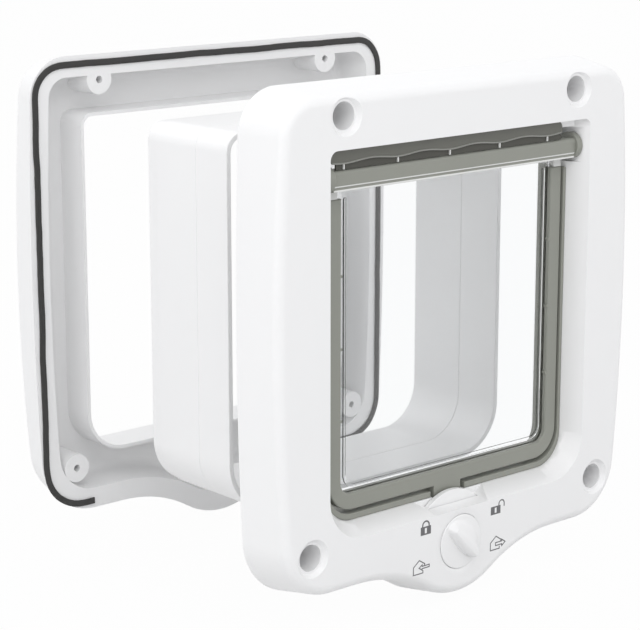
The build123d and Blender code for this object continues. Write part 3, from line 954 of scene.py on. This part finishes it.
@dataclass
class TopSeal:
    """Vinyl strip over the hinge bar: its skirt, darkened by painted shade, the bead on its wavy lip,
    lightened as a painted highlight, the backing below the lip, near-black as painted shade, and the
    ribs, light grey as painted highlights.
    """

    pitch: float = 31.0
    shift: float = -7.0
    wave: float = 0.55
    lip_z: float = -19.65
    top_z: float = -14.0
    front_y: float = -19.3
    lip_thick: float = 0.8
    far_y: float = -17.7
    left_x: float = -76.2
    right_x: float = 64.5
    disc_x: float = -73.0
    end_r: float = 3.5
    bead_r: float = 0.38
    bead_end: float = 0.3
    foot_z: float = -22.8
    rib_y: float = -18.85
    rib_foot_z: float = -22.7
    rib_tall: float = 2.7
    rib_section: Vec2 = (0.55, 1.0)
    rib_edge_r: float = 0.15
    columns: int = 200

    def top(self, x: float) -> float:
        """Height of the strip's upper edge, with its rounded ends.

        Args:
            x: Place along the strip.

        Returns:
            The height in millimetres.
        """
        inside = min(x - self.left_x, self.right_x - x, self.end_r)
        rise = math.sqrt(max(0.0, self.end_r ** 2 - (self.end_r - inside) ** 2))
        return self.top_z - self.end_r + rise

    def lip(self, x: float) -> float:
        """Height of the wavy edge."""
        return self.lip_z - self.wave * math.cos(math.tau * (x - self.shift) / self.pitch)

    def sheet(
        self, name: str, left: float, near: float, far: float, low: Callable[[float], float]
    ) -> bpy.types.Mesh:
        """Makes an upright sheet between the strip's upper edge and a lower one.

        Args:
            name: Name of the mesh.
            left: Its left end.
            near: Its front.
            far: Its back.
            low: Height of its lower edge at a place along it.

        Returns:
            A closed mesh.
        """
        points: list[Vec3] = []
        faces: list[tuple[int, ...]] = []
        for i in range(self.columns + 1):
            x = left + (self.right_x - left) * (1.0 - math.cos(math.pi * i / self.columns)) / 2.0
            top = self.top(x)
            points += [(x, near, top), (x, near, low(x)), (x, far, low(x)), (x, far, top)]
        for i in range(self.columns):
            a = 4 * i
            faces += [(a + k, a + (k + 1) % 4, a + 4 + (k + 1) % 4, a + 4 + k) for k in range(4)]
        last = 4 * self.columns
        faces += [(3, 2, 1, 0), (last, last + 1, last + 2, last + 3)]
        mesh = mesh_from(name, points, faces)
        finish_skin(mesh, CRISP_ANGLE)
        return mesh

    def build(self, finishes: Finishes) -> None:
        """Makes the strip and what is moulded on it.

        Args:
            finishes: Materials of the part.
        """
        lip_back = self.front_y + self.lip_thick
        front = self.sheet("seal_skirt", self.left_x, self.front_y, lip_back, self.lip)
        skirt = new_object("seal_skirt", front)
        # The skirt's darker grey is partly painted shade under the top of the opening
        finishes.dress(skirt, Group.INNER, Slot.GREY, "seal_grey_painted_shade")
        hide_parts("top_seal")
        # The backing's near-black is painted shade below the lip
        rear = self.sheet("seal_backing", self.disc_x, lip_back, self.far_y, lambda x: self.foot_z)
        backing = new_object("seal_backing", rear)
        finishes.dress(backing, Group.INNER, Slot.GREY, "seal_backing_painted_shade")
        values = scaled({
            "Start": (self.left_x + self.bead_end, self.front_y, self.lip_z),
            "End": (self.right_x - self.bead_end, self.front_y, self.lip_z),
            "Pitch": self.pitch,
            "Shift": self.shift,
            "Wave": self.wave,
            "Bead Radius": self.bead_r,
        })
        # The bead's lighter grey is a painted highlight along the lip
        bead = build_wave_tree().grow(empty_mesh("seal_bead_painted_highlight"), values, finishes.made["seal_bead_painted_highlight"])
        finishes.dress(bead, Group.INNER, Slot.GREY, "seal_bead_painted_highlight")
        # The seal's ribs are light grey as painted highlights
        reach = 2 * self.pitch
        row = RibRow(
            "seal_ribs",
            first=(self.shift - reach, self.rib_y, self.rib_foot_z),
            last=(self.shift + reach, self.rib_y, self.rib_foot_z),
            run=(0.0, 0.0, self.rib_tall),
            section=self.rib_section,
            edge_r=self.rib_edge_r,
            count=5,
        )
        row.build(build_rib_tree(), finishes, Group.INNER, "painted_highlight_grey")


@dataclass
class InnerPlate:
    """Front plate with its opening, liner, seal and the four printed signs of the lock."""

    body_size: Vec2 = (6.3, 3.9)
    keyhole: Vec2 = (1.3, 2.5)
    shackle_r: float = 2.0
    shackle_rise: float = 0.5
    open_shackle_r: float = 1.75
    open_shackle_lap: float = 1.1
    open_shackle_drop: float = 1.0
    house: tuple[Vec2, ...] = (
        (5.9, 1.2), (5.9, 0.0), (0.0, 0.0), (0.0, 3.6), (3.6, 6.3), (7.0, 4.1), (6.7, 3.4),
    )
    arrow_in: tuple[Vec2, ...] = (
        (3.5, 2.7), (5.4, 3.9), (5.4, 3.2), (9.8, 3.2), (9.8, 2.1), (5.4, 2.1), (5.4, 1.4), (3.5, 2.7),
    )
    arrow_out: tuple[Vec2, ...] = (
        (3.4, 3.2), (3.4, 1.8), (7.5, 1.8), (7.5, 0.9), (9.7, 2.5), (7.5, 4.0), (7.5, 3.2), (3.4, 3.2),
    )

    def lock_body(self) -> list[list[Vec2]]:
        """Body of a padlock as patches round its keyhole, from its lower left corner."""
        width, height = self.body_size
        hole, tall = self.keyhole
        left = (width - hole) / 2
        right = left + hole
        low = (height - tall) / 2
        high = low + tall
        return [
            [(0.0, 0.0), (left, 0.0), (left, height), (0.0, height)],
            [(right, 0.0), (width, 0.0), (width, height), (right, height)],
            [(left, 0.0), (right, 0.0), (right, low), (left, low)],
            [(left, high), (right, high), (right, height), (left, height)],
        ]

    def signs(self) -> list[Pictogram]:
        """Shut and open padlocks, and houses with an arrow in and out."""
        width, height = self.body_size
        middle = width / 2
        top = height + self.shackle_rise
        shut = [(middle - self.shackle_r, height)] + arc((middle, top), self.shackle_r, 180, 0)
        shut.append((middle + self.shackle_r, height))
        open_r = self.open_shackle_r
        swung = width - self.open_shackle_lap + open_r
        released = [(swung - open_r, height)] + arc((swung, top), open_r, 180, 0)
        released.append((swung + open_r, height - self.open_shackle_drop))
        house = list(self.house)
        return [
            Pictogram("sign_locked", (-26.0, -192.0), [shut], self.lock_body(), stroke=0.75),
            Pictogram("sign_open", (18.6, -192.1), [released], self.lock_body(), stroke=0.6),
            Pictogram("sign_in_only", (-30.3, -209.6), [house, list(self.arrow_in)]),
            Pictogram("sign_out_only", (18.7, -209.2), [house, list(self.arrow_out)]),
        ]

    def build(self, finishes: Finishes) -> None:
        """Makes the rounded plate, liner and seal, and prints the signs.

        Args:
            finishes: Materials of the part.
        """
        plate = PlateCopy("inner_frame", Group.INNER, Slot.WHITE, radius=0.6, segments=3).build(finishes)
        SoftCopy("liner_left", Group.INNER, Slot.GREY).build(finishes)
        SoftCopy("liner_right", Group.INNER, Slot.GREY).build(finishes)
        TopSeal().build(finishes)
        corners = [vertex.co for vertex in plate.data.vertices]
        surface = BVHTree.FromPolygons(corners, [face.vertices for face in plate.data.polygons])
        for sign in self.signs():
            sign.build(surface, finishes)


@dataclass
class HangingFlap:
    """Hinge bar, pivots, border and clear pane."""

    inner_x: float = 64.7
    nub_top_z: float = -70.0
    nub_low_z: float = -166.0
    nub_front_y: float = -12.8
    nub_run: float = 1.9
    nub_section: Vec2 = (1.6, 1.2)
    nub_edge_r: float = 0.3
    nub_count: int = 4
    clip_half: float = 73.9
    bead_y: float = -18.3
    bead_z: float = -30.0
    bead_section: Vec2 = (0.7, 0.7)
    bead_edge_r: float = 0.25
    foot_y: float = -17.85
    foot_z: float = -31.85
    foot_section: Vec2 = (1.1, 0.9)
    foot_edge_r: float = 0.3
    corner_place: Vec3 = (69.1, -11.8, -36.45)
    corner_tall: float = 4.1
    corner_section: Vec2 = (4.8, 1.8)
    corner_edge_r: float = 0.4

    def build(self, finishes: Finishes) -> None:
        """Makes the rounded bar, clip, pivots and border, the nubs on the border, and the clip's bead
        and foot and the pane's corners in light grey as painted highlights.

        Args:
            finishes: Materials of the part.
        """
        for node in ("hinge_bar", "pane_clip", "pivot_left", "pivot_right", "flap_border"):
            SoftCopy(node, Group.FLAP, Slot.GREY).build(finishes)
        ribs = build_rib_tree()
        for side, name in ((-1.0, "border_nubs_left"), (1.0, "border_nubs_right")):
            nubs = RibRow(
                name,
                first=(side * self.inner_x, self.nub_front_y, self.nub_top_z),
                last=(side * self.inner_x, self.nub_front_y, self.nub_low_z),
                run=(0.0, self.nub_run, 0.0),
                section=self.nub_section,
                edge_r=self.nub_edge_r,
                count=self.nub_count,
            )
            nubs.build(ribs, finishes, Group.FLAP)
        across = (2.0 * self.clip_half, 0.0, 0.0)
        bead_start = (-self.clip_half, self.bead_y, self.bead_z)
        foot_start = (-self.clip_half, self.foot_y, self.foot_z)
        x, y, z = self.corner_place
        # The clip's bead and foot and the pane's corner blocks are light grey as painted highlights on
        # their edges
        lit = [
            RibRow("clip_bead", bead_start, across, self.bead_section, self.bead_edge_r),
            RibRow("clip_foot", foot_start, across, self.foot_section, self.foot_edge_r),
            RibRow(
                "pane_corners",
                first=(-x, y, z),
                last=(x, y, z),
                run=(0.0, 0.0, self.corner_tall),
                section=self.corner_section,
                edge_r=self.corner_edge_r,
                count=2,
            ),
        ]
        for row in lit:
            row.build(ribs, finishes, Group.FLAP, "painted_highlight_grey")


@dataclass
class RotaryLock:
    """Four-position lock: dial with a waisted finger ridge, and the parts behind it."""

    dial_r: float = 12.7
    front_y: float = -22.7
    dome: float = 0.5
    edge_r: float = 0.4
    back_y: float = -21.6
    neck_r: float = 6.4
    neck_end_y: float = -16.6
    ridge_half_length: float = 11.9
    steep_width: float = 3.2
    steep_power: float = 2.6
    gentle_width: float = 9.5
    least_slope: float = 0.2
    crest_half_width: float = 0.2
    crease_width: float = 0.8
    crease_depth: float = 0.45
    ridge_height: float = 4.3
    end_fall: float = 5.0
    middle_rise: float = 0.2
    back_edge: float = 0.3
    column_spread: float = 0.45
    lean: float = 43.0
    rows: int = 90
    columns: int = 84

    def height(self, along: float, across: float) -> float:
        """Height of the ridge over the dial's face.

        Args:
            along: Distance from the middle along the ridge.
            across: Distance from its middle line.

        Returns:
            Height in millimetres.
        """
        centre = self.dome * (1.0 - (along * along + across * across) / self.dial_r ** 2)
        share = min(1.0, abs(along) / self.ridge_half_length)
        bulge = math.sqrt(1.0 - share * share)
        ends = min(1.0, (1.0 - share) * self.end_fall)
        crest = self.ridge_height * (1.0 - self.middle_rise + self.middle_rise * bulge)
        top = crest * ends * ends * (3.0 - 2.0 * ends)
        if abs(across) <= self.crest_half_width:
            return centre + top
        width = self.steep_width if across < 0.0 else self.gentle_width
        foot = max(self.crest_half_width + self.least_slope, width * bulge)
        fall = min(1.0, (abs(across) - self.crest_half_width) / (foot - self.crest_half_width))
        if across > 0.0:
            return centre + top * (1.0 - fall * fall) ** 2
        past = max(0.0, 1.0 - abs(-across - foot) / self.crease_width)
        crease = self.crease_depth * past * past * bulge
        return centre + top * (1.0 - fall ** self.steep_power) - crease

    def place(self, along: float, across: float, y: float) -> Vec3:
        """Point of the dial, turned to the ridge's lean.

        Args:
            along: Distance from the middle along the ridge.
            across: Distance from its middle line.
            y: Its place from front to back.

        Returns:
            The point in millimetres.
        """
        turn = math.radians(self.lean)
        x = across * math.cos(turn) - along * math.sin(turn)
        z = across * math.sin(turn) + along * math.cos(turn)
        return (x, y, DIAL_Z + z)

    def rings(self) -> list[Vec2]:
        """Radius and place of each ring, from the rim of the face back to the neck's end."""
        inner_r = self.dial_r - self.edge_r
        rings = []
        for step in (1, 2, 3):
            angle = math.pi / 6 * step
            drop = self.edge_r * (1 - math.cos(angle))
            rings.append((inner_r + self.edge_r * math.sin(angle), self.front_y + drop))
        return rings + [
            (self.dial_r, self.back_y - self.back_edge),
            (self.dial_r - self.back_edge, self.back_y),
            (self.neck_r, self.back_y),
            (self.neck_r, self.neck_end_y),
        ]

    def build_knob(self, finishes: Finishes) -> None:
        """Makes the dial as one closed skin and lets it stand for its node.

        Args:
            finishes: Materials of the part.
        """
        points: list[Vec3] = []
        inner_r = self.dial_r - self.edge_r
        row = self.columns + 1
        for i in range(self.rows + 1):
            along = -inner_r * math.cos(math.pi * i / self.rows)
            half = math.sqrt(max(0.0, inner_r * inner_r - along * along))
            for j in range(row):
                share = 2.0 * j / self.columns - 1.0
                spread = self.column_spread * share + (1.0 - self.column_spread) * share ** 3
                across = half * spread
                height = self.height(along, across)
                points.append(self.place(along, across, self.front_y - height))
        faces = grid_faces(self.rows, self.columns)
        loop = [i * row + self.columns for i in range(self.rows + 1)]
        loop += [i * row for i in range(self.rows - 1, 0, -1)]
        count = len(loop)
        last = loop
        for radius, y in self.rings():
            scale = radius / inner_r
            ring = []
            for index in loop:
                x, _, z = points[index]
                ring.append(len(points))
                points.append((x * scale, y, DIAL_Z + (z - DIAL_Z) * scale))
            for k in range(count):
                after = (k + 1) % count
                faces.append((last[k], last[after], ring[after], ring[k]))
            last = ring
        faces.append(tuple(reversed(last)))
        mesh = mesh_from("lock_knob_soft", points, faces)
        finish_skin(mesh, DIAL_CRISP_ANGLE)
        knob = new_object("lock_knob_soft", mesh)
        finishes.dress(knob, Group.LOCK, Slot.WHITE)
        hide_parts("lock_knob")

    def build(self, finishes: Finishes) -> None:
        """Makes the dial and the rounded parts behind it.

        Args:
            finishes: Materials of the part.
        """
        self.build_knob(finishes)
        for node in ("lock_rotor", "rear_stop"):
            SoftCopy(node, Group.LOCK, Slot.WHITE).build(finishes)


@dataclass
class WallTunnel:
    """Two rings that line the hole through the wall."""

    def build(self, finishes: Finishes) -> None:
        """Makes both rounded rings."""
        for node in ("tunnel_front", "tunnel_rear"):
            SoftCopy(node, Group.TUNNEL, Slot.WHITE, radius=0.4, segments=3).build(finishes)


@dataclass
class OuterPlate:
    """Plate for the outdoor side, with the foam strip that seals it to the door."""

    strip_width: float = 3.1
    strip_depth: float = 1.0
    top_half: float = 107.9
    bottom_half: float = 107.2
    top_z: float = 8.2
    bottom_z: float = -206.2
    end_x: float = 80.0
    strip_gap: float = 0.05
    strip_edge_r: float = 0.35
    top_corner_r: float = 15.0
    bottom_corner_r: float = 21.0
    middle_z: float = -100.0
    step: float = 2.5
    wander: float = 1.2
    seed: float = 4.0

    def build(self, finishes: Finishes) -> None:
        """Makes the rounded plate and the foam strip on its rim.

        Args:
            finishes: Materials of the part.
        """
        SoftCopy("outer_frame", Group.OUTER, Slot.WHITE, radius=0.5, segments=3).build(finishes)
        middle_y = RIM_Y - self.strip_depth / 2
        corners = [
            (-self.end_x, self.bottom_z),
            (-self.bottom_half, self.bottom_z),
            (-self.top_half, self.top_z),
            (self.top_half, self.top_z),
            (self.bottom_half, self.bottom_z),
            (self.end_x, self.bottom_z),
        ]
        path = empty_mesh("gasket_foam")
        points = [(x * MM, middle_y * MM, z * MM) for x, z in corners]
        path.from_pydata(points, [(i, i + 1) for i in range(len(corners) - 1)], [])
        values = scaled({
            "Width": self.strip_width,
            "Depth": self.strip_depth - self.strip_gap,
            "Edge Radius": self.strip_edge_r,
            "Top Corner": self.top_corner_r,
            "Bottom Corner": self.bottom_corner_r,
            "Middle Height": self.middle_z,
            "Step": self.step,
            "Wander": self.wander,
        })
        values["Seed"] = self.seed
        strip = build_foam_tree().grow(path, values, finishes.made[Slot.RUBBER.value])
        finishes.dress(strip, Group.OUTER, Slot.RUBBER)
        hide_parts("gasket")


@dataclass
class Studio:
    """Camera, lamps, floor and background."""

    camera_place: Vec3 = (-0.6492, -0.6667, 0.115)
    camera_yaw: float = 41.2
    camera_pitch: float = 12.95
    focal_pixels: float = 2110.0
    image_width: float = 640.0
    sensor: float = 36.0
    floor_size: float = 8.0
    floor_gap: float = 0.0005
    floor_glow: float = 0.97
    floor_colour: Colour = (0.65, 0.65, 0.65, 1.0)
    floor_roughness: float = 0.9
    world_colour: Colour = (0.985, 0.988, 1.0, 1.0)
    world_level: float = 0.93
    key_power: float = 5.0
    side_power: float = 3.2
    fill_power: float = 1.2
    back_power: float = 5.0

    def add_camera(self) -> None:
        """Places the camera at the photograph's viewing angle."""
        data = bpy.data.cameras.new("camera")
        data.sensor_width = self.sensor
        data.lens = self.focal_pixels * self.sensor / self.image_width
        data.clip_start = 0.01
        camera = bpy.data.objects.new("camera", data)
        camera.location = self.camera_place
        tilt = math.radians(90.0 - self.camera_pitch)
        camera.rotation_euler = (tilt, 0.0, -math.radians(self.camera_yaw))
        bpy.context.scene.collection.objects.link(camera)
        bpy.context.scene.camera = camera

    def add_lamp(self, name: str, place: Vec3, aim: Vec3, size: float, power: float) -> None:
        """Adds one soft square lamp.

        Args:
            name: Name of the lamp.
            place: Where it hangs.
            aim: Point that it faces.
            size: Length of its side.
            power: Its output in watts.
        """
        data = bpy.data.lights.new(name, "AREA")
        data.shape = "SQUARE"
        data.size = size
        data.energy = power
        lamp = bpy.data.objects.new(name, data)
        lamp.location = place
        direction = Vector(aim) - Vector(place)
        lamp.rotation_euler = direction.to_track_quat("-Z", "Y").to_euler()
        bpy.context.scene.collection.objects.link(lamp)

    def seen_ray(self, tree: bpy.types.NodeTree) -> Socket:
        """Tells rays that look at the background from rays that carry its light.

        Args:
            tree: Node tree of the background's material or of the world.

        Returns:
            Socket that is 1 for camera, glossy and transmission rays.
        """
        path = tree.nodes.new("ShaderNodeLightPath")
        shown = path.outputs["Is Camera Ray"]
        for name in ("Is Glossy Ray", "Is Transmission Ray"):
            either = tree.nodes.new("ShaderNodeMath")
            either.operation = "MAXIMUM"
            tree.links.new(shown, either.inputs[0])
            tree.links.new(path.outputs[name], either.inputs[1])
            shown = either.outputs[0]
        return shown

    def show_white(
        self, tree: bpy.types.NodeTree, lit: str, kind: str, output: str, share: float
    ) -> None:
        """Shows white to the camera in place of what gives the light.

        Args:
            tree: Nodes of the world or of the floor's material.
            lit: Node that gives the light.
            kind: Type of the white node.
            output: Node that ends the tree.
            share: How much of the white is shown.
        """
        white = tree.nodes.new(kind)
        white.inputs["Color"].default_value = (1.0, 1.0, 1.0, 1.0)
        white.inputs["Strength"].default_value = 1.0
        part = tree.nodes.new("ShaderNodeMath")
        part.operation = "MULTIPLY"
        part.inputs[1].default_value = share
        mix = tree.nodes.new("ShaderNodeMixShader")
        tree.links.new(self.seen_ray(tree), part.inputs[0])
        tree.links.new(part.outputs[0], mix.inputs[0])
        tree.links.new(tree.nodes[lit].outputs[0], mix.inputs[1])
        tree.links.new(white.outputs[0], mix.inputs[2])
        tree.links.new(mix.outputs[0], tree.nodes[output].inputs["Surface"])

    def add_world(self) -> None:
        """Lights from all round at a plain level, and shows white to the camera."""
        world = bpy.data.worlds.new("studio")
        world.use_nodes = True
        bpy.context.scene.world = world
        ambient = world.node_tree.nodes["Background"]
        ambient.inputs["Color"].default_value = self.world_colour
        ambient.inputs["Strength"].default_value = self.world_level
        self.show_white(world.node_tree, "Background", "ShaderNodeBackground", "World Output", 1.0)

    def add_floor(self) -> None:
        """Lays a pale floor under the lowest point, almost white to the camera."""
        low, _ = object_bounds()
        z = low[2] - self.floor_gap
        half = self.floor_size / 2.0
        mesh = bpy.data.meshes.new("floor")
        corners = [(-half, -half, z), (half, -half, z), (half, half, z), (-half, half, z)]
        mesh.from_pydata(corners, [], [(0, 1, 2, 3)])
        floor = new_object("floor", mesh)
        material = bpy.data.materials.new("floor")
        material.use_nodes = True
        tree = material.node_tree
        surface = tree.nodes["Principled BSDF"]
        surface.inputs["Base Color"].default_value = self.floor_colour
        surface.inputs["Roughness"].default_value = self.floor_roughness
        self.show_white(
            tree, "Principled BSDF", "ShaderNodeEmission", "Material Output", self.floor_glow
        )
        mesh.materials.append(material)
        floor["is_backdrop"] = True

    def build(self) -> None:
        """Sets up the whole studio."""
        bpy.context.scene.view_settings.view_transform = "Standard"
        self.add_camera()
        self.add_world()
        self.add_floor()
        aim = (0.0, 0.05, -0.1)
        self.add_lamp("key", (-0.55, -0.9, 1.1), aim, 1.0, self.key_power)
        self.add_lamp("side", (-1.3, -0.45, 0.1), (0.0, 0.12, -0.1), 1.0, self.side_power)
        self.add_lamp("fill", (1.4, -0.9, 0.5), aim, 1.4, self.fill_power)
        self.add_lamp("back", (-0.6, 1.5, 1.2), aim, 1.4, self.back_power)


def main() -> None:
    """Builds the finishes, the detail pieces and the studio in order."""
    logging.basicConfig(level=logging.INFO, format="%(name)s: %(message)s")
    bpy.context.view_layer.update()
    finishes = Finishes()
    finishes.build()
    finishes.dress_nodes()
    for assembly in (InnerPlate(), HangingFlap(), RotaryLock(), WallTunnel(), OuterPlate()):
        assembly.build(finishes)
    Studio().build()


if __name__ == "__main__":
    main()
